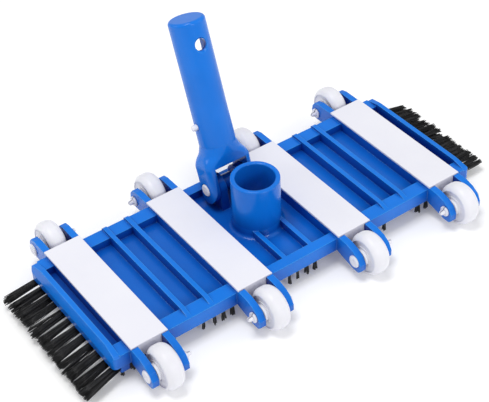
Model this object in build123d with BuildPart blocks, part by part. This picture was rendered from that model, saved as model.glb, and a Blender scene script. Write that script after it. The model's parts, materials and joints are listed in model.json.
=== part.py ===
from build123d import *
import os
from math import acos, atan2, cos, hypot, radians, sin

# Manual pool vacuum head: a long flexible blue body on eight wheels, with four
# white weight covers, a hose socket, a tilting pole handle and black brushes.
# Millimetres. X runs along the body, -Y is the front, +Z is up. The origin is on
# the floor, straight below the centre of the hose socket.

# ---- driving dimensions ----------------------------------------------------
# wheels and their stations
station_x = (-136.5, -46.1, 46.1, 136.5)
wheel_radius = 17.0
wheel_half_width = 7.6
wheel_crown_radius = 6.0
wheel_bore_radius = 3.56
wheel_boss_radius = 6.5
wheel_boss_half_width = 9.4
wheel_hub_radius = 8.5
wheel_hub_half_width = 7.3
wheel_rim_radius = 13.0
wheel_web_half_width = 6.6
axle_y = 80.0
axle_z = wheel_radius

# body moulding
body_half_y = 59.3
skirt_bottom = 13.2
floor_bottom = 15.4
floor_top = 18.0
flange_top = 24.8
middle_rim_width = 8.5
outer_rim_width = 12.0
rib_width = 3.6
tall_rib_top = 27.0

# fork walls that carry the wheels and hold the weight covers
wall_inner_x = 9.75
wall_outer_x = 15.15
wall_half_y = 61.25
wall_top = 26.9
ear_top = 27.4
ear_bottom = 12.3
front_ear_outline = (
    (70.0, 27.0),
    (78.0, 25.0),
    (83.5, 21.5),
    (86.8, 16.0),
    (86.7, 10.5),
    (84.2, 8.3),
    (79.0, 8.3),
)
back_ear_outline = (
    (77.0, 27.2),
    (82.8, 25.6),
    (85.4, 22.0),
    (86.2, 17.5),
    (85.7, 13.6),
    (83.4, 11.4),
    (78.0, 11.0),
)

# end plates
lip_inner_x = 159.5
lip_outer_x = 166.0
lip_lean = 2.7
lip_lean_bottom = 19.5
lip_top = 27.5
lip_end_top = 24.8
lip_slope_length = 13.0

# hose socket for a 1.5 inch hose cuff
socket_outer_radius = 19.0
socket_inner_radius = 15.3
socket_top = 62.7
socket_fillet = 3.0
socket_foot_radius = 19.6
socket_foot_top = 25.5

# weight covers and weights
channel_floor = 2.6
cover_top = 28.5
cover_half_width = 15.15
cover_wall = 1.6
cover_edge_round = 0.5
cover_side_gap = 0.1
cover_bottom = 16.0
snap_height = 21.0
snap_depth = 0.5
snap_half_height = 0.8
snap_y = 30.0
snap_length = 18.0
snap_play = 0.15
weight_height = 9.6
weight_half_width = 7.9
weight_half_length = 57.0
weight_chamfer = 0.8

# wheel pins
pin_radius = 3.5
pin_hole_radius = 3.56
pin_head_radius = 5.0
pin_head_height = 1.4
pin_bead_radius = 4.2
pin_bead_length = 1.8
pin_neck_radius = 2.3
pin_tip_radius = 1.7
pin_tip_length = 3.8
pin_edge_slope = 0.7
pin_slit = 0.9
pin_slit_depth = 13.0
pin_end_play = 0.2

# handle for a 1.25 inch telescopic pole
handle_lean = 18.48
pivot_y = 38.1
pivot_z = 34.1
handle_radius = 14.3
handle_bore_radius = 10.6
handle_length = 134.7
handle_cap = 4.0
handle_top_round = 2.5
yoke_inner_x = 14.3
yoke_outer_x = 20.3
yoke_half_depth = 12.6
yoke_corner = 7.0
crotch_height = 18.3
flare_profile = (
    (18.3, 0.0),
    (20.3, 0.07),
    (22.5, 0.21),
    (24.5, 0.40),
    (26.5, 0.62),
    (29.0, 0.80),
    (32.0, 0.93),
    (35.3, 1.0),
)
tube_foot_radius = 14.6
tube_foot_top = 58.0
leg_radius = 11.5
pin_seat_radius = 5.4
pin_seat_depth = 0.8
clip_height = 51.8
lock_hole_height = 115.9
lock_hole_radius = 4.7
lock_hole_rim_radius = 6.2
lock_hole_rim_depth = 1.5
back_window_half_width = 11.3
back_window_bottom = 96.0
back_window_top = 127.3

# the two ears that the handle turns on
pivot_ear_inner_x = 7.0
pivot_ear_outer_x = 14.0
pivot_ear_radius = 10.0
pivot_boss_radius = 6.0
pivot_foot_front = 25.3
pivot_foot_back = 50.9

# clip button and its spring
button_radius = 2.5
button_hole_radius = 2.58
button_reach = 19.0
button_flange_radius = 4.0
button_flange_height = 1.3
button_flange_x = 9.3
button_dome = 1.4
spring_width = 7.0
spring_thickness = 1.2
spring_foot = 46.8
spring_bend = 57.3
spring_apex = 89.3
spring_apex_half_width = 1.6
spring_right_x = 9.6

# brushes
side_tuft_first_y = 55.0
side_tuft_pitch = 10.0
left_tuft_count = 12
left_tuft_spread = 1.04
left_tuft_shift = -4.8
right_tuft_count = 11
right_tuft_spread = 0.88
right_tuft_shift = -3.2
side_root_x = 160.2
side_root_z = 10.2
side_tip_x = 194.0
side_tip_z = 8.6
side_root_radius = 2.8
left_tip_half_width = 4.9
right_tip_half_width = 4.2
side_tip_half_height = 2.9
rail_inner_x = 151.8
rail_bottom = 6.6
bottom_tuft_y = 56.2
bottom_tuft_root_radius = 1.6
bottom_tuft_tip_radius = 2.3
bottom_tuft_tip_z = 2.0
bottom_tuft_pitch = 8.3
bottom_groups = (
    (-153.7, 2),
    (-119.3, 2),
    (-76.3, 4),
    (0.0, 4),
    (76.3, 2),
    (119.3, 2),
    (153.7, 2),
)

os.makedirs("parts", exist_ok=True)


def save(piece, node):
    """Label a finished piece and write it as one STEP file."""
    piece.part.label = node
    export_step(piece.part, f"parts/{node}.step")


# Frame of the handle: local Z runs up the tube, local X is the pivot's axis and
# local Y points to the back. Its origin is the centre of the pivot pin.
lean = radians(handle_lean)
handle_frame = Plane(
    origin=(0, pivot_y, pivot_z),
    x_dir=(1, 0, 0),
    z_dir=(0, sin(lean), cos(lean)),
)


handle_axis = Axis(handle_frame.origin, handle_frame.z_dir)
handle_front_plane = Plane(
    origin=(0, pivot_y, pivot_z),
    x_dir=(1, 0, 0),
    z_dir=(0, -cos(lean), sin(lean)),
)


def handle_plane(height):
    """Plane square to the handle's tube at a height above the pivot."""
    return handle_frame.offset(height)


def handle_side_plane(x):
    """Plane square to the pivot's axis: local X points back, local Y up the tube."""
    return Plane(
        origin=(x, pivot_y, pivot_z),
        x_dir=(0, cos(lean), -sin(lean)),
        z_dir=(1, 0, 0),
    )


def snap_outline(half_width, play):
    """Both snap ridges of one station in section: a triangle on each side."""
    half_height = snap_half_height + play
    ridge_x = half_width + snap_depth + play
    Polygon(
        (half_width, half_height),
        (-half_width, half_height),
        (-ridge_x, 0),
        (-half_width, -half_height),
        (half_width, -half_height),
        (ridge_x, 0),
        align=None,
    )


# ---- body moulding ---------------------------------------------------------
bay_edges = (
    (station_x[0] + wall_outer_x, station_x[1] - wall_outer_x, outer_rim_width),
    (station_x[1] + wall_outer_x, station_x[2] - wall_outer_x, middle_rim_width),
    (station_x[2] + wall_outer_x, station_x[3] - wall_outer_x, outer_rim_width),
    (-lip_inner_x, station_x[0] - wall_outer_x, outer_rim_width),
    (station_x[3] + wall_outer_x, lip_inner_x, outer_rim_width),
)
outer_rib_x = [
    side * (station_x[3] + station_x[2]) / 2 + offset
    for side in (-1, 1)
    for offset in (-9.8, 9.8)
]
middle_rib_x = (-12.0, 12.0)
wall_mid_x = [
    x + side * (wall_inner_x + wall_outer_x) / 2 for x in station_x for side in (-1, 1)
]

with BuildPart() as body_moulding:
    # thin floor from end to end
    with BuildSketch(Plane.XY.offset(floor_bottom)):
        Rectangle(2 * lip_outer_x - 2, 2 * body_half_y - 2)
    extrude(amount=floor_top - floor_bottom)

    # thick front and back rims of every bay
    with BuildSketch(Plane.XY.offset(skirt_bottom)):
        for low_x, high_x, rim in bay_edges:
            with Locations(((low_x + high_x) / 2, 0)):
                with GridLocations(0, 2 * body_half_y - rim, 1, 2):
                    Rectangle(high_x - low_x, rim)
    extrude(amount=flange_top - skirt_bottom)

    # skirt and raised lip at each end, its top falling away towards the corners
    lip_mid_x = (lip_inner_x + lip_outer_x) / 2
    with BuildSketch(Plane.YZ.offset(-lip_mid_x), Plane.YZ.offset(lip_mid_x)):
        with BuildLine():
            Polyline(
                (-body_half_y, skirt_bottom),
                (-body_half_y, lip_end_top - 1.5),
                (-body_half_y + 1.5, lip_end_top),
                (-body_half_y + lip_slope_length, lip_top),
                (body_half_y - lip_slope_length, lip_top),
                (body_half_y - 1.5, lip_end_top),
                (body_half_y, lip_end_top - 1.5),
                (body_half_y, skirt_bottom),
                close=True,
            )
        make_face()
    extrude(amount=(lip_outer_x - lip_inner_x) / 2, both=True)
    lip_corners = body_moulding.edges().filter_by(Axis.Z).filter_by(
        lambda edge: abs(edge.center().X) > lip_outer_x - 0.1
    )
    fillet(lip_corners, 4.0)

    # outer face of each lip, leaning inwards towards its top
    with BuildSketch(Plane.XZ):
        with BuildLine():
            Polyline(
                (lip_outer_x - lip_lean, lip_top),
                (lip_outer_x, lip_lean_bottom),
                (lip_outer_x + 1, lip_lean_bottom),
                (lip_outer_x + 1, lip_top),
                close=True,
            )
        make_face()
        mirror(about=Plane.YZ)
    extrude(amount=body_half_y + 1, both=True, mode=Mode.SUBTRACT)

    # rail under each end that the side brushes are planted in
    with BuildSketch(Plane.XY.offset(rail_bottom)):
        with GridLocations(rail_inner_x + side_root_x, 0, 2, 1):
            RectangleRounded(side_root_x - rail_inner_x, 2 * body_half_y - 2, 2.0)
    extrude(amount=floor_bottom - rail_bottom)

    # two tall ribs in each outer bay, cut back to a slope at the front
    with BuildSketch(*[Plane.YZ.offset(x) for x in outer_rib_x]):
        with BuildLine():
            Polyline(
                (-body_half_y, floor_bottom),
                (-body_half_y, flange_top - 0.6),
                (-body_half_y + 10.0, tall_rib_top),
                (body_half_y - 1.5, tall_rib_top),
                (body_half_y + 0.6, tall_rib_top - 1.5),
                (body_half_y + 0.6, flange_top - 4.0),
                (body_half_y - 1.0, floor_bottom),
                close=True,
            )
        make_face()
    extrude(amount=rib_width / 2, both=True)

    # two low ribs from the socket to the middle bay's front rim
    with BuildSketch(Plane.XY.offset(floor_bottom)):
        with Locations(*[(x, -(body_half_y + 12.0) / 2) for x in middle_rib_x]):
            Rectangle(rib_width, body_half_y - 12.0)
    extrude(amount=flange_top - floor_bottom)

    # floor of each wheel station, let down below the floor of the bays
    with BuildSketch(Plane.XY.offset(skirt_bottom)):
        with Locations(*[(x, 0) for x in station_x]):
            Rectangle(2 * wall_inner_x + 1, 2 * wall_half_y)
    extrude(amount=channel_floor)
    with BuildSketch(Plane.XY.offset(skirt_bottom + channel_floor)):
        with Locations(*[(x, 0) for x in station_x]):
            Rectangle(2 * wall_inner_x, 2 * wall_half_y)
    extrude(amount=floor_top - floor_bottom, mode=Mode.SUBTRACT)

    # fork walls: each runs the full depth and ends in an ear for a wheel pin
    with BuildSketch(*[Plane.YZ.offset(x) for x in wall_mid_x]):
        with BuildLine():
            Polyline(
                (wall_half_y, wall_top),
                (wall_half_y + 0.4, ear_top),
                *back_ear_outline,
                (wall_half_y + 1.0, ear_bottom),
                (wall_half_y - 1.5, skirt_bottom),
                (-wall_half_y + 1.5, skirt_bottom),
                (-wall_half_y - 1.0, ear_bottom),
                *[(-y, z) for y, z in reversed(front_ear_outline)],
                (-wall_half_y - 0.4, ear_top),
                (-wall_half_y, wall_top),
                close=True,
            )
        make_face()
    extrude(amount=(wall_outer_x - wall_inner_x) / 2, both=True)

    # hose socket
    with BuildSketch(Plane.XY.offset(skirt_bottom)):
        Circle(socket_outer_radius)
    extrude(amount=socket_top - skirt_bottom)

    # foot of the socket: a slight taper, then a fillet down to the floor
    with BuildSketch(Plane.XZ):
        with BuildLine():
            Polyline(
                (socket_foot_radius, floor_top + socket_fillet),
                (socket_outer_radius, socket_foot_top),
                (socket_outer_radius - 1, socket_foot_top),
                (socket_outer_radius - 1, floor_top - 1),
                (socket_foot_radius + socket_fillet, floor_top - 1),
                (socket_foot_radius + socket_fillet, floor_top),
            )
            RadiusArc(
                (socket_foot_radius + socket_fillet, floor_top),
                (socket_foot_radius, floor_top + socket_fillet),
                socket_fillet,
            )
        make_face()
    revolve(axis=Axis.Z)

    # two ears behind the socket that the handle turns on, round at the top
    pivot_ear_mid_x = (pivot_ear_inner_x + pivot_ear_outer_x) / 2
    with BuildSketch(Plane.YZ.offset(-pivot_ear_mid_x), Plane.YZ.offset(pivot_ear_mid_x)):
        with BuildLine():
            Polyline(
                (pivot_foot_front, floor_bottom),
                (pivot_y - pivot_ear_radius, pivot_z),
                (pivot_y + pivot_ear_radius, pivot_z),
                (pivot_foot_back, floor_bottom),
                close=True,
            )
        make_face()
        with Locations((pivot_y, pivot_z)):
            Circle(pivot_ear_radius)
    extrude(amount=(pivot_ear_outer_x - pivot_ear_inner_x) / 2, both=True)

    # boss round the pivot pin, from one ear to the other
    with BuildSketch(Plane.YZ):
        with Locations((pivot_y, pivot_z)):
            Circle(pivot_boss_radius)
    extrude(amount=pivot_ear_inner_x, both=True)

    # bore of the socket, right through to the underside
    with BuildSketch(Plane.XY):
        Circle(socket_inner_radius)
    extrude(amount=socket_top + 1, mode=Mode.SUBTRACT)
    socket_rims = (
        body_moulding.edges()
        .filter_by(GeomType.CIRCLE)
        .filter_by(lambda edge: abs(edge.center().Z - socket_top) < 0.1)
        .filter_by(lambda edge: edge.length > 6.0 * socket_inner_radius)
    )
    fillet(socket_rims, 1.2)

    # pin holes through every pair of ears
    with BuildSketch(Plane.YZ):
        with Locations((-axle_y, axle_z), (axle_y, axle_z)):
            Circle(pin_hole_radius)
    extrude(amount=station_x[3] + wall_outer_x + 1, both=True, mode=Mode.SUBTRACT)
    with BuildSketch(Plane.YZ):
        with Locations((pivot_y, pivot_z)):
            Circle(pin_hole_radius)
    extrude(amount=pivot_ear_outer_x + 1, both=True, mode=Mode.SUBTRACT)

    # grooves in the fork walls that the weight covers snap into
    with BuildSketch(Plane.XZ.offset(-snap_y), Plane.XZ.offset(snap_y)):
        with Locations(*[(x, snap_height) for x in station_x]):
            snap_outline(wall_inner_x, snap_play)
    extrude(amount=snap_length / 2 + snap_play, both=True, mode=Mode.SUBTRACT)

save(body_moulding, "body_moulding")


# ---- weight covers and the steel bars inside them --------------------------
def make_cover(node, x):
    """Snap-in cover: a flat plate over the fork walls with a box hanging below it."""
    box_half_width = wall_inner_x - cover_side_gap
    with BuildPart() as cover:
        with BuildSketch(Plane.XY.offset(wall_top)):
            with Locations((x, 0)):
                Rectangle(2 * cover_half_width, 2 * wall_half_y)
        extrude(amount=cover_top - wall_top)
        plate_rim = cover.faces().sort_by(Axis.Z)[-1].edges()
        fillet(plate_rim, cover_edge_round)
        with BuildSketch(Plane.XY.offset(cover_bottom)):
            with Locations((x, 0)):
                Rectangle(2 * box_half_width, 2 * wall_half_y)
        extrude(amount=wall_top - cover_bottom)
        with BuildSketch(Plane.XY.offset(cover_bottom)):
            with Locations((x, 0)):
                Rectangle(2 * (box_half_width - cover_wall), 2 * (wall_half_y - cover_wall))
        extrude(amount=wall_top - cover_bottom, mode=Mode.SUBTRACT)
        with BuildSketch(Plane.XZ.offset(-snap_y), Plane.XZ.offset(snap_y)):
            with Locations((x, snap_height)):
                snap_outline(box_half_width, 0)
                Rectangle(2 * (box_half_width - cover_wall / 2), 4, mode=Mode.SUBTRACT)
        extrude(amount=snap_length / 2, both=True)
    save(cover, node)


def make_weight(node, x):
    """Plain steel bar that lies on the channel floor under its cover."""
    with BuildPart() as weight:
        with BuildSketch(Plane.XY.offset(skirt_bottom + channel_floor)):
            with Locations((x, 0)):
                Rectangle(2 * weight_half_width, 2 * weight_half_length)
        extrude(amount=weight_height)
        chamfer(weight.edges(), weight_chamfer)
    save(weight, node)


for number, x in enumerate(station_x, start=1):
    make_cover(f"weight_cover_{number}", x)
    make_weight(f"weight_{number}", x)


# ---- wheels and pins -------------------------------------------------------
def make_wheel(node, x, y):
    """Crowned wheel with a raised hub on both faces and a bore for its pin."""
    crown_x = wheel_half_width - wheel_crown_radius
    crown_r = wheel_radius - wheel_crown_radius
    rim_x = crown_x + (wheel_crown_radius**2 - (wheel_rim_radius - crown_r) ** 2) ** 0.5
    crown_mid = wheel_crown_radius * sin(radians(45))
    wheel_plane = Plane(origin=(x, y, axle_z), x_dir=(1, 0, 0), z_dir=(0, -1, 0))
    with BuildPart() as wheel:
        with BuildSketch(wheel_plane):
            with BuildLine():
                Polyline(
                    (0, wheel_bore_radius),
                    (wheel_boss_half_width, wheel_bore_radius),
                    (wheel_boss_half_width, wheel_boss_radius),
                    (wheel_hub_half_width, wheel_boss_radius),
                    (wheel_hub_half_width, wheel_hub_radius),
                    (wheel_web_half_width, wheel_hub_radius),
                    (wheel_web_half_width, wheel_rim_radius),
                    (rim_x, wheel_rim_radius),
                )
                ThreePointArc(
                    (rim_x, wheel_rim_radius),
                    (crown_x + crown_mid, crown_r + crown_mid),
                    (crown_x, wheel_radius),
                )
                Line((crown_x, wheel_radius), (0, wheel_radius))
                mirror(about=Plane.YZ)
            make_face()
        revolve(axis=Axis(wheel_plane.origin, wheel_plane.x_dir))
    save(wheel, node)


def make_pin(node, centre, half_grip, head_side):
    """Pin with a flat head at one end and a split snap tip at the other."""
    bead_end = -half_grip - pin_bead_length
    tip_end = bead_end - pin_tip_length
    pin_plane = Plane(origin=centre, x_dir=(head_side, 0, 0), z_dir=(0, 1, 0))
    slit_plane = Plane(origin=centre, x_dir=(0, 1, 0), z_dir=(head_side, 0, 0))
    with BuildPart() as pin:
        with BuildSketch(pin_plane):
            with BuildLine():
                Polyline(
                    (tip_end, 0),
                    (tip_end, pin_tip_radius - pin_edge_slope),
                    (tip_end + pin_edge_slope, pin_tip_radius),
                    (bead_end, pin_neck_radius),
                    (bead_end, pin_bead_radius - pin_edge_slope),
                    (bead_end + pin_edge_slope, pin_bead_radius),
                    (-half_grip - pin_end_play, pin_bead_radius),
                    (-half_grip - pin_end_play, pin_radius),
                    (half_grip, pin_radius),
                    (half_grip, pin_head_radius),
                    (half_grip + pin_head_height - pin_edge_slope, pin_head_radius),
                    (half_grip + pin_head_height, pin_head_radius - pin_edge_slope),
                    (half_grip + pin_head_height, 0),
                    close=True,
                )
            make_face()
        revolve(axis=Axis(centre, (1, 0, 0)))
        with BuildSketch(slit_plane.offset(tip_end)):
            Rectangle(pin_slit, 3 * pin_bead_radius)
        extrude(amount=pin_slit_depth, mode=Mode.SUBTRACT)
    save(pin, node)


for number, x in enumerate(station_x, start=1):
    head_side = -1 if number % 2 else 1
    for end, y in (("front", -axle_y), ("back", axle_y)):
        make_wheel(f"wheel_{number}_{end}", x, y)
        make_pin(f"wheel_pin_{number}_{end}", (x, y, axle_z), wall_outer_x, head_side)

pivot_half_grip = yoke_outer_x - pin_seat_depth + pin_end_play
make_pin("handle_pivot_pin", (0, pivot_y, pivot_z), pivot_half_grip, -1)

# ---- handle ----------------------------------------------------------------
# the yoke's legs taper from the shoulder to a round end about the pivot
taper_angle = atan2(crotch_height, yoke_half_depth) - acos(
    leg_radius / hypot(crotch_height, yoke_half_depth)
)
leg_tangent_y = leg_radius * cos(taper_angle)
leg_tangent_z = leg_radius * sin(taper_angle)

with BuildPart() as yoke:
    with BuildSketch(handle_plane(-leg_radius)):
        RectangleRounded(2 * yoke_outer_x, 2 * yoke_half_depth, yoke_corner)
    extrude(amount=crotch_height + leg_radius)
    with BuildSketch(handle_side_plane(0)):
        with BuildLine():
            Polyline(
                (-yoke_half_depth, crotch_height),
                (yoke_half_depth, crotch_height),
                (leg_tangent_y, leg_tangent_z),
                (-leg_tangent_y, leg_tangent_z),
                close=True,
            )
        make_face()
        Circle(leg_radius)
    extrude(amount=yoke_outer_x, both=True, mode=Mode.INTERSECT)
    with BuildSketch(handle_side_plane(0)):
        with Locations((0, (crotch_height - leg_radius) / 2)):
            Rectangle(3 * yoke_half_depth, crotch_height + leg_radius)
    extrude(amount=yoke_inner_x, both=True, mode=Mode.SUBTRACT)

with BuildPart() as handle:
    # tube: a slight taper at its foot, then round, with a closed top
    with BuildSketch(handle_plane(flare_profile[-1][0])):
        Circle(tube_foot_radius)
    with BuildSketch(handle_plane(tube_foot_top)):
        Circle(handle_radius)
    loft()
    with BuildSketch(handle_plane(tube_foot_top)):
        Circle(handle_radius)
    extrude(amount=handle_length - tube_foot_top)
    fillet(handle.edges().sort_by(handle_axis)[-1], handle_top_round)

    # flare: an S-curve from the yoke's rounded shoulder up to the tube
    for height, share in flare_profile:
        half_width = yoke_outer_x + (tube_foot_radius - yoke_outer_x) * share
        half_depth = yoke_half_depth + (tube_foot_radius - yoke_half_depth) * share
        corner = yoke_corner + (tube_foot_radius - 0.1 - yoke_corner) * share
        with BuildSketch(handle_plane(height)):
            RectangleRounded(2 * half_width, 2 * half_depth, corner)
    loft()
    add(yoke.part)

    # hollow inside, open at the yoke
    with BuildSketch(handle_plane(crotch_height)):
        Circle(handle_bore_radius)
    extrude(amount=handle_length - handle_cap - crotch_height, mode=Mode.SUBTRACT)

    # window in the back of the tube, behind the lock hole
    with BuildSketch(handle_front_plane):
        with Locations((0, (back_window_bottom + back_window_top) / 2)):
            Rectangle(2 * back_window_half_width, back_window_top - back_window_bottom)
    extrude(amount=-handle_radius - 1, mode=Mode.SUBTRACT)

    # hole for the clip button, in the left side only
    with BuildSketch(handle_side_plane(0)):
        with Locations((0, clip_height)):
            Circle(button_hole_radius)
    extrude(amount=-handle_radius - 1, mode=Mode.SUBTRACT)

    # pivot pin hole, with a shallow seat for the pin's ends in both sides
    with BuildSketch(handle_side_plane(0)):
        Circle(pin_hole_radius)
    extrude(amount=yoke_outer_x + 1, both=True, mode=Mode.SUBTRACT)
    with BuildSketch(handle_side_plane(-yoke_outer_x), handle_side_plane(yoke_outer_x)):
        Circle(pin_seat_radius)
    extrude(amount=pin_seat_depth, both=True, mode=Mode.SUBTRACT)

    # countersunk hole in the front wall for the pole's own lock button
    with BuildSketch(handle_front_plane):
        with Locations((0, lock_hole_height)):
            Circle(lock_hole_radius)
    extrude(amount=handle_radius + 1, mode=Mode.SUBTRACT)
    for depth, radius in (
        (lock_hole_rim_depth, lock_hole_radius),
        (0, lock_hole_rim_radius),
    ):
        with BuildSketch(handle_front_plane.offset(handle_radius - depth)):
            with Locations((0, lock_hole_height)):
                Circle(radius)
    loft(mode=Mode.SUBTRACT)

save(handle, "handle")


# ---- pole clip -------------------------------------------------------------
# the button sticks out to the left and has a flange behind the tube's wall
button_plane = Plane(
    origin=handle_frame.from_local_coords((0, 0, clip_height)),
    x_dir=(-1, 0, 0),
    z_dir=(0, -cos(lean), sin(lean)),
)
with BuildPart() as clip_button:
    with BuildSketch(button_plane):
        with BuildLine():
            Polyline(
                (button_reach - button_dome, button_radius),
                (button_flange_x, button_radius),
                (button_flange_x, button_flange_radius),
                (button_flange_x - button_flange_height, button_flange_radius),
                (button_flange_x - button_flange_height, 0),
                (button_reach, 0),
            )
            ThreePointArc(
                (button_reach, 0),
                (button_reach - button_dome / 4, button_radius / 2),
                (button_reach - button_dome, button_radius),
            )
        make_face()
    revolve(axis=Axis(button_plane.origin, (1, 0, 0)))
save(clip_button, "clip_button")

# V spring: its left arm pushes the button out, its right arm rests on the tube
spring_left_x = button_flange_x - button_flange_height
apex_inner_x = spring_apex_half_width - spring_thickness / 2
with BuildPart() as clip_spring:
    with BuildSketch(handle_front_plane):
        with BuildLine():
            Polyline(
                (-spring_left_x, spring_foot),
                (-spring_left_x, spring_bend),
                (-spring_apex_half_width, spring_apex),
                (spring_apex_half_width, spring_apex),
                (spring_right_x, spring_bend),
                (spring_right_x, spring_foot),
                (spring_right_x - spring_thickness, spring_foot),
                (spring_right_x - spring_thickness, spring_bend),
                (apex_inner_x, spring_apex - spring_thickness),
                (-apex_inner_x, spring_apex - spring_thickness),
                (-spring_left_x + spring_thickness, spring_bend),
                (-spring_left_x + spring_thickness, spring_foot),
                close=True,
            )
        make_face()
    extrude(amount=spring_width / 2, both=True)
save(clip_spring, "clip_spring")


# ---- brushes ---------------------------------------------------------------
def make_side_brush(node, side, count, spread, shift, tip_half_width):
    """Row of tufts planted in the rail at one end, fanning out to their tips."""
    with BuildPart() as brush:
        for index in range(count):
            root_y = side_tuft_first_y - index * side_tuft_pitch
            with BuildSketch(Plane.YZ.offset(side * side_root_x)):
                with Locations((root_y, side_root_z)):
                    Circle(side_root_radius)
            with BuildSketch(Plane.YZ.offset(side * side_tip_x)):
                with Locations((spread * root_y + shift, side_tip_z)):
                    Ellipse(tip_half_width, side_tip_half_height)
            loft()
    save(brush, node)


def make_bottom_brush(node, y):
    """Row of tufts under one long edge of the body."""
    tuft_x = [
        centre + (index - (count - 1) / 2) * bottom_tuft_pitch
        for centre, count in bottom_groups
        for index in range(count)
    ]
    with BuildPart() as brush:
        for x in tuft_x:
            root_z = rail_bottom if abs(x) > rail_inner_x else skirt_bottom
            with Locations((x, y, bottom_tuft_tip_z)):
                Cone(
                    bottom_radius=bottom_tuft_tip_radius,
                    top_radius=bottom_tuft_root_radius,
                    height=root_z - bottom_tuft_tip_z,
                    align=(Align.CENTER, Align.CENTER, Align.MIN),
                )
    save(brush, node)


make_side_brush(
    "side_brush_left", -1, left_tuft_count, left_tuft_spread, left_tuft_shift, left_tip_half_width
)
make_side_brush(
    "side_brush_right", 1, right_tuft_count, right_tuft_spread, right_tuft_shift, right_tip_half_width
)
make_bottom_brush("bottom_brush_front", -bottom_tuft_y)
make_bottom_brush("bottom_brush_back", bottom_tuft_y)
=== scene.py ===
import json
import math
import random

import bmesh
import bpy
from mathutils import Matrix, Vector


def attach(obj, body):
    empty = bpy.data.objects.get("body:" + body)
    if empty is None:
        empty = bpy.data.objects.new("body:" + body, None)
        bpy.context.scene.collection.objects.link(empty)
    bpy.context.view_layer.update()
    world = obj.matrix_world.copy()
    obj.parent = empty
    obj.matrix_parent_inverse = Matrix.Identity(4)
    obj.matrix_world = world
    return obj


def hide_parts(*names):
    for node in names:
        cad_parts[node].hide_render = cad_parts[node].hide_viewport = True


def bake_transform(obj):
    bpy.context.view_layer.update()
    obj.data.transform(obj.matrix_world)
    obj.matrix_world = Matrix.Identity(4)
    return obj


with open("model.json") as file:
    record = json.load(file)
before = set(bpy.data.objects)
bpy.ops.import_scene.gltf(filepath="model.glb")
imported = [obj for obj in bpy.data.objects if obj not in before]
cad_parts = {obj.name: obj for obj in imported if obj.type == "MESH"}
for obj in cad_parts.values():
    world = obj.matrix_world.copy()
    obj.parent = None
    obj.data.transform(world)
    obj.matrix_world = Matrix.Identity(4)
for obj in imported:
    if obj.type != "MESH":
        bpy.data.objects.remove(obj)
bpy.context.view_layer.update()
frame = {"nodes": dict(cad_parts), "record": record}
nodes = frame["nodes"]
scene = bpy.context.scene
MM = 0.001


# ---- camera, light and floor -----------------------------------------------
AZIMUTH_DEG = 33.817  # how far the view turns from straight back towards the right
ELEVATION_DEG = 41.155
ROLL_DEG = -3.056
CAMERA_PLACE = (-0.40940, -0.59529, 0.67048)
SENSOR_WIDTH = 36.0  # millimetres, like the lens
LENS = 93.03
FAR_CLIP = 20.0

SKY_STRENGTH = 0.52
SOFT_BOXES = (
    # name, place, target, side length, power
    ("key", (-0.3, 0.1, 1.8), (0, 0, 0), 0.7, 14),
    ("front", (0.1, -1.7, 0.9), (0, 0, 0.03), 0.5, 8.0),
    ("side", (1.3, -0.7, 0.9), (0, 0, 0.02), 0.9, 2.5),
    ("back", (-1.3, 1.0, 0.9), (0, 0, 0.02), 0.6, 3.5),
)
FLOOR_REACH = 6.0
FLOOR_DROP = 0.2 * MM  # keeps the floor just clear of the wheels
FLOOR_GLOW = 0.14


def new_material(name):
    """New material, its node tree and its main shader."""
    material = bpy.data.materials.new(name)
    material.use_nodes = True
    return material, material.node_tree, material.node_tree.nodes["Principled BSDF"]


def make_camera():
    """Camera that looks down at the head from its front left."""
    azimuth = math.radians(AZIMUTH_DEG)
    elevation = math.radians(ELEVATION_DEG)
    roll = math.radians(ROLL_DEG)
    forward = Vector(
        (
            math.sin(azimuth) * math.cos(elevation),
            math.cos(azimuth) * math.cos(elevation),
            -math.sin(elevation),
        )
    )
    level = forward.cross(Vector((0, 0, 1))).normalized()
    upright = level.cross(forward)
    right = math.cos(roll) * level + math.sin(roll) * upright
    up = right.cross(forward)
    turn = Matrix((right, up, -forward)).transposed().to_4x4()
    data = bpy.data.cameras.new("camera")
    data.sensor_width = SENSOR_WIDTH
    data.lens = LENS
    data.clip_end = FAR_CLIP
    camera = bpy.data.objects.new("camera", data)
    camera.matrix_world = Matrix.Translation(CAMERA_PLACE) @ turn
    scene.collection.objects.link(camera)
    scene.camera = camera


def make_sky():
    """Even white light from all around."""
    world = bpy.data.worlds.new("studio")
    world.use_nodes = True
    background = world.node_tree.nodes["Background"]
    background.inputs["Color"].default_value = (1.0, 1.0, 1.0, 1)
    background.inputs["Strength"].default_value = SKY_STRENGTH
    scene.world = world


def add_soft_box(name, place, target, size, power):
    """Square soft box at a place, facing a target."""
    data = bpy.data.lights.new(name, "AREA")
    data.size = size
    data.energy = power
    lamp = bpy.data.objects.new(name, data)
    lamp.location = place
    lamp.rotation_euler = (Vector(target) - Vector(place)).to_track_quat("-Z", "Y").to_euler()
    scene.collection.objects.link(lamp)


def make_floor():
    """Pale floor that glows faintly, so that it reads as white."""
    mesh = bpy.data.meshes.new("floor")
    bm = bmesh.new()
    bmesh.ops.create_grid(bm, x_segments=8, y_segments=8, size=FLOOR_REACH)
    bm.to_mesh(mesh)
    bm.free()
    floor = bpy.data.objects.new("floor", mesh)
    floor.location.z = -FLOOR_DROP
    scene.collection.objects.link(floor)
    material, _, shader = new_material("floor")
    shader.inputs["Base Color"].default_value = (0.93, 0.93, 0.93, 1)
    shader.inputs["Emission Color"].default_value = (1, 1, 1, 1)
    shader.inputs["Emission Strength"].default_value = FLOOR_GLOW
    shader.inputs["Roughness"].default_value = 0.9
    shader.inputs["Specular IOR Level"].default_value = 0.1
    floor.data.materials.append(material)


scene.view_settings.view_transform = "Standard"
make_camera()
make_sky()
for soft_box in SOFT_BOXES:
    add_soft_box(*soft_box)
make_floor()


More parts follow.
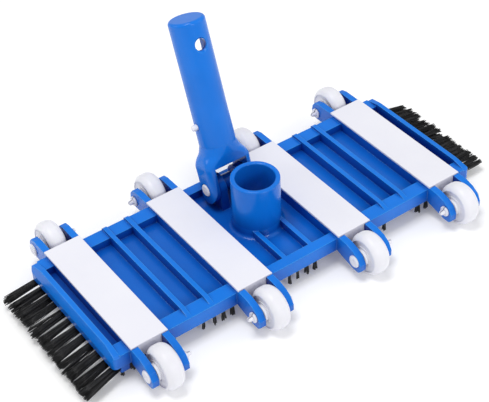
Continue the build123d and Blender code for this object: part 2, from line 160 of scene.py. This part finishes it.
# ---- shader helpers --------------------------------------------------------
NOISE_ROUGHNESS = 0.55
BEVEL_SAMPLES = 6
# ambient occlusion settings for the painted shade in recesses
PAINTED_SHADE_SAMPLES = 12
PAINTED_SHADE_REACH = 26 * MM

# the Mix node has sockets of one name for every data type, so its colours go by number
MIX_FIRST, MIX_SECOND, MIX_RESULT = 6, 7, 2


def node_of(tree, kind, **values):
    """New shader node with its properties set."""
    made = tree.nodes.new(kind)
    for key, value in values.items():
        setattr(made, key, value)
    return made


def own_place(tree):
    """Position in the object's own metres."""
    return node_of(tree, "ShaderNodeTexCoord").outputs["Object"]


def noise_of(tree, place, scale, detail=3.0):
    """Noise at a place."""
    made = node_of(tree, "ShaderNodeTexNoise")
    tree.links.new(place, made.inputs["Vector"])
    made.inputs["Scale"].default_value = scale
    made.inputs["Detail"].default_value = detail
    made.inputs["Roughness"].default_value = NOISE_ROUGHNESS
    return made.outputs["Fac"]


def span(tree, value, low, high, from_low=0.3, from_high=0.7):
    """Maps the stretch from_low to from_high of a value onto low to high."""
    made = node_of(tree, "ShaderNodeMapRange")
    tree.links.new(value, made.inputs["Value"])
    made.inputs["From Min"].default_value = from_low
    made.inputs["From Max"].default_value = from_high
    made.inputs["To Min"].default_value = low
    made.inputs["To Max"].default_value = high
    return made.outputs["Result"]


def mix_colours(tree, factor, first, second):
    """Mixes two colours, each a tuple or a socket, by a socket."""
    made = node_of(tree, "ShaderNodeMix", data_type="RGBA")
    tree.links.new(factor, made.inputs["Factor"])
    for number, colour in ((MIX_FIRST, first), (MIX_SECOND, second)):
        socket = made.inputs[number]
        if isinstance(colour, tuple):
            socket.default_value = (*colour, 1)
        else:
            tree.links.new(colour, socket)
    return made.outputs[MIX_RESULT]


def rounded_normal(tree, radius):
    """The surface's direction as if its edges were rounded."""
    made = node_of(tree, "ShaderNodeBevel", samples=BEVEL_SAMPLES)
    made.inputs["Radius"].default_value = radius
    return made.outputs["Normal"]


def edge_highlight_mask(tree, radius):
    """Where the painted edge highlight goes: about 1 on convex or concave edges within a
    radius, 0 on open faces.
    """
    rounded = rounded_normal(tree, radius)
    plain = node_of(tree, "ShaderNodeNewGeometry")
    likeness = node_of(tree, "ShaderNodeVectorMath", operation="DOT_PRODUCT")
    tree.links.new(rounded, likeness.inputs[0])
    tree.links.new(plain.outputs["Normal"], likeness.inputs[1])
    return span(tree, likeness.outputs["Value"], 1.0, 0.0, from_low=0.72, from_high=0.995)


def unshaded_share(tree):
    """Share of a face free of painted shade: 0 far down in a recess, rising to 1 where little
    stands near a face.
    """
    made = node_of(tree, "ShaderNodeAmbientOcclusion", samples=PAINTED_SHADE_SAMPLES)
    made.inputs["Distance"].default_value = PAINTED_SHADE_REACH
    return span(tree, made.outputs["AO"], 0.0, 1.0, from_low=0.14, from_high=0.90)


# ---- materials -------------------------------------------------------------
# noise scales: roughly how many patches there are to a metre
DRIFT_SCALE = 22.0
CLOUD_SCALE = 160.0
GRAIN_SCALE = 1400.0
SCRATCH_SCALE = 1500.0
STRAND_PATCH_SCALE = 700.0

GRAIN_DEPTH = 0.1 * MM
GLOW_DEPTH = 3 * MM
PLASTIC_IOR = 1.5
GLOSSIER, DULLER = 0.06, 0.07  # how far a plastic's roughness wanders

# Each plastic's edge colour is a painted highlight along its edges, and its darkest colour is
# painted shade in recesses.
PLASTICS = {
    "blue_plastic": dict(
        base=(0.003, 0.160, 0.66),
        tint=(0.005, 0.190, 0.75),
        edge=(0.060, 0.430, 0.96),
        painted_shade=(0.002, 0.022, 0.26),
        roughness=0.20,
        grain=0.10,
        gloss=0.30,
        round_edge=0.9 * MM,
    ),
    "white_plastic": dict(
        base=(0.79, 0.79, 0.86),
        tint=(0.82, 0.82, 0.88),
        edge=(0.86, 0.86, 0.91),
        painted_shade=(0.74, 0.74, 0.83),
        roughness=0.42,
        grain=0.10,
        gloss=0.3,
    ),
    "wheel_plastic": dict(
        base=(0.79, 0.79, 0.84),
        tint=(0.82, 0.82, 0.87),
        edge=(0.87, 0.87, 0.91),
        painted_shade=(0.72, 0.72, 0.79),
        roughness=0.38,
        grain=0.12,
        gloss=0.4,
        translucence=0.35,
    ),
    "pin_plastic": dict(
        base=(0.78, 0.78, 0.86),
        tint=(0.82, 0.82, 0.89),
        edge=(0.88, 0.88, 0.92),
        painted_shade=(0.60, 0.60, 0.70),
        roughness=0.30,
        grain=0.10,
        gloss=0.5,
        translucence=0.4,
    ),
    "clip_plastic": dict(
        base=(0.82, 0.82, 0.86),
        tint=(0.85, 0.85, 0.89),
        edge=(0.88, 0.88, 0.92),
        painted_shade=(0.60, 0.60, 0.70),
        roughness=0.32,
        grain=0.10,
        gloss=0.5,
        translucence=0.3,
    ),
}


def make_plastic(
    name, base, tint, edge, painted_shade, roughness, grain, gloss, translucence=0.0, round_edge=0.6 * MM
):
    """Moulded plastic: drifting tone, fine grain, painted highlights along edges, painted shade
    in recesses.
    """
    material, tree, shader = new_material(name)
    place = own_place(tree)
    drift = span(tree, noise_of(tree, place, DRIFT_SCALE), 0.0, 1.0)
    colour = mix_colours(tree, drift, base, tint)
    # painted highlight: the pale edge colour along convex and concave edges
    colour = mix_colours(tree, edge_highlight_mask(tree, round_edge), colour, edge)
    # painted shade: the darkest colour laid into recesses, where little light reaches
    colour = mix_colours(tree, unshaded_share(tree), painted_shade, colour)
    tree.links.new(colour, shader.inputs["Base Color"])
    cloud = noise_of(tree, place, CLOUD_SCALE, detail=4.0)
    sheen = span(tree, cloud, roughness - GLOSSIER, roughness + DULLER)
    tree.links.new(sheen, shader.inputs["Roughness"])
    bump = node_of(tree, "ShaderNodeBump")
    bump.inputs["Strength"].default_value = grain
    bump.inputs["Distance"].default_value = GRAIN_DEPTH
    tree.links.new(noise_of(tree, place, GRAIN_SCALE, detail=2.0), bump.inputs["Height"])
    tree.links.new(rounded_normal(tree, round_edge), bump.inputs["Normal"])
    tree.links.new(bump.outputs["Normal"], shader.inputs["Normal"])
    shader.inputs["Specular IOR Level"].default_value = gloss
    shader.inputs["IOR"].default_value = PLASTIC_IOR
    if translucence:
        shader.inputs["Subsurface Weight"].default_value = translucence
        shader.inputs["Subsurface Radius"].default_value = (1.0, 0.9, 1.0)
        shader.inputs["Subsurface Scale"].default_value = GLOW_DEPTH
    return material


def make_steel():
    """Plain sawn steel: dull, with fine scratches along the bar."""
    material, tree, shader = new_material("steel")
    stretch = node_of(tree, "ShaderNodeMapping")
    stretch.inputs["Scale"].default_value = (1.0, 0.04, 1.0)
    tree.links.new(own_place(tree), stretch.inputs["Vector"])
    scratches = noise_of(tree, stretch.outputs["Vector"], SCRATCH_SCALE)
    dark, light = (0.32, 0.32, 0.33), (0.50, 0.50, 0.51)
    tone = mix_colours(tree, span(tree, scratches, 0, 1), dark, light)
    tree.links.new(tone, shader.inputs["Base Color"])
    tree.links.new(span(tree, scratches, 0.38, 0.55), shader.inputs["Roughness"])
    shader.inputs["Metallic"].default_value = 1.0
    return material


def make_bristle():
    """Black nylon strands: every strand its own near-black tone, with a soft sheen."""
    material, tree, shader = new_material("bristle")
    strand = node_of(tree, "ShaderNodeNewGeometry").outputs["Random Per Island"]
    patch = noise_of(tree, own_place(tree), STRAND_PATCH_SCALE, detail=2.0)
    jet, charcoal, soot = (0.0015, 0.0015, 0.002), (0.040, 0.040, 0.043), (0.003, 0.003, 0.004)
    paler = span(tree, strand, 0, 1, from_low=0.35, from_high=1.0)
    tone = mix_colours(tree, paler, jet, charcoal)
    tone = mix_colours(tree, span(tree, patch, 0, 0.6), tone, soot)
    tree.links.new(tone, shader.inputs["Base Color"])
    tree.links.new(span(tree, patch, 0.30, 0.48), shader.inputs["Roughness"])
    shader.inputs["Specular IOR Level"].default_value = 0.35
    return material


by_slot = {name: make_plastic(name, **look) for name, look in PLASTICS.items()}
by_slot["steel"] = make_steel()
by_slot["bristle"] = make_bristle()

slot_of = {entry["node"]: entry["material_slot"] for entry in frame["record"]["subparts"]}
for name, item in nodes.items():
    item.data.materials.clear()
    item.data.materials.append(by_slot[slot_of[name]])


# ---- bristles --------------------------------------------------------------
SAME_POINT = 1e-6
SAME_PLANE = 1e-5
PATH_STEPS = 4
STRAND_SIDES = 5
STRAND_TIP_SHARE = 0.7  # of its radius
THINNEST, THICKEST = 0.85, 1.15  # times a brush's usual strand
BOW = 0.3  # how far a strand's middle may stray, in millimetres
NOT_ALONG_AN_AXIS = Vector((0.31, 0.57, 0.76))

# how far a strand keeps to its clump's place and to its own, as shares of the tuft's half size
CLUMP_AT_ROOT, OWN_AT_ROOT = 0.6, 0.4
CLUMP_AT_TIP, OWN_AT_TIP = 0.66, 0.32


def islands(bm):
    """The points of each separate solid in a mesh."""
    seen = set()
    for start in bm.verts:
        if start in seen:
            continue
        group, queue = [], [start]
        seen.add(start)
        while queue:
            vert = queue.pop()
            group.append(vert.co.copy())
            for edge in vert.link_edges:
                other = edge.other_vert(vert)
                if other not in seen:
                    seen.add(other)
                    queue.append(other)
        yield group


def tuft_ends(name, axis, outward):
    """Centre and half size of the root, then of the tip, of each tuft in a brush node."""
    bm = bmesh.new()
    bm.from_mesh(nodes[name].data)
    bmesh.ops.remove_doubles(bm, verts=bm.verts, dist=SAME_POINT)
    ends = []
    for group in islands(bm):
        reach = [point[axis] * outward for point in group]
        pair = []
        for limit in (min(reach), max(reach)):
            cap = [p for p, r in zip(group, reach) if abs(r - limit) < SAME_PLANE]
            low = Vector([min(p[i] for p in cap) for i in range(3)])
            high = Vector([max(p[i] for p in cap) for i in range(3)])
            pair.append(((low + high) / 2, (high - low) / 2))
        ends.append(pair)
    bm.free()
    return ends


def strand_path(start, middle, end, cut):
    """Points along a bowed strand, with the share cut missing from its tip."""
    path = []
    for step in range(PATH_STEPS + 1):
        t = step / PATH_STEPS * (1 - cut)
        path.append((1 - t) ** 2 * start + 2 * t * (1 - t) * middle + t * t * end)
    return path


def add_strand(verts, faces, path, radius):
    """Thin tube along a path, a little finer at its tip, closed at both ends."""
    sides = STRAND_SIDES
    along = (path[-1] - path[0]).normalized()
    across = along.cross(NOT_ALONG_AN_AXIS).normalized()
    beside = along.cross(across)
    first = len(verts)
    for step, point in enumerate(path):
        thick = radius * (1.0 if step < len(path) - 1 else STRAND_TIP_SHARE)
        for k in range(sides):
            turn = 2 * math.pi * k / sides
            verts.append(point + thick * (math.cos(turn) * across + math.sin(turn) * beside))
    for step in range(len(path) - 1):
        ring = first + step * sides
        for k in range(sides):
            nxt = (k + 1) % sides
            faces.append((ring + k, ring + nxt, ring + sides + nxt, ring + sides + k))
    last = first + (len(path) - 1) * sides
    faces.append(tuple(last + k for k in range(sides)))
    faces.append(tuple(first + k for k in reversed(range(sides))))


def disc_point(rng):
    """Even random point in a unit disc."""
    turn = rng.uniform(0, 2 * math.pi)
    reach = math.sqrt(rng.random())
    return reach * math.cos(turn), reach * math.sin(turn)


def make_brush(
    name, axis, outward, strands, clumps, seed, radius, ragged, fill_root=1.0, fill_tip=1.2
):
    """Fine strands in place of a brush node's plain cones, gathered into ragged clumps."""
    rng = random.Random(seed)
    verts, faces = [], []
    cross = [i for i in range(3) if i != axis]
    for (root, root_half), (tip, tip_half) in tuft_ends(name, axis, outward):
        gathered = [disc_point(rng) for _ in range(clumps)]
        clump_cut = [rng.uniform(0.0, ragged) for _ in range(clumps)]
        for number in range(strands):
            which = number % clumps
            clump = gathered[which]
            own_tip, own_root = disc_point(rng), disc_point(rng)
            start, end = root.copy(), tip.copy()
            for i, side in enumerate(cross):
                root_spot = CLUMP_AT_ROOT * clump[i] + OWN_AT_ROOT * own_root[i]
                tip_spot = CLUMP_AT_TIP * clump[i] + OWN_AT_TIP * own_tip[i]
                start[side] += fill_root * root_half[side] * root_spot
                end[side] += fill_tip * tip_half[side] * tip_spot
            cut = clump_cut[which] + rng.uniform(0.0, ragged / 2)
            middle = start.lerp(end, 0.5)
            for side in cross:
                middle[side] += rng.uniform(-BOW, BOW) * MM
            path = strand_path(start, middle, end, cut)
            add_strand(verts, faces, path, radius * rng.uniform(THINNEST, THICKEST))
    mesh = bpy.data.meshes.new(name + "_strands")
    mesh.from_pydata(verts, [], faces)
    mesh.shade_smooth()
    mesh.materials.append(by_slot["bristle"])
    brush = bpy.data.objects.new(name + "_strands", mesh)
    scene.collection.objects.link(brush)
    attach(brush, "base")
    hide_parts(name)


make_brush(
    "side_brush_left", axis=0, outward=-1, strands=150, clumps=9, seed=11,
    radius=0.28 * MM, ragged=0.10, fill_root=1.30, fill_tip=1.35,
)
make_brush(
    "side_brush_right", axis=0, outward=1, strands=150, clumps=7, seed=12,
    radius=0.30 * MM, ragged=0.14, fill_root=1.3, fill_tip=1.5,
)
for name, seed in (("bottom_brush_front", 13), ("bottom_brush_back", 14)):
    make_brush(
        name, axis=2, outward=-1, strands=60, clumps=5, seed=seed, radius=0.26 * MM, ragged=0.10
    )


# ---- clip spring -----------------------------------------------------------
def make_spring():
    """The V spring as a piece of its own, a copy of the clip spring part in the same place."""
    source = nodes["clip_spring"]
    spring = bpy.data.objects.new("clip_spring_bending", source.data.copy())
    spring.matrix_world = source.matrix_world.copy()
    scene.collection.objects.link(spring)
    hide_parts("clip_spring")
    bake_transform(spring)


make_spring()
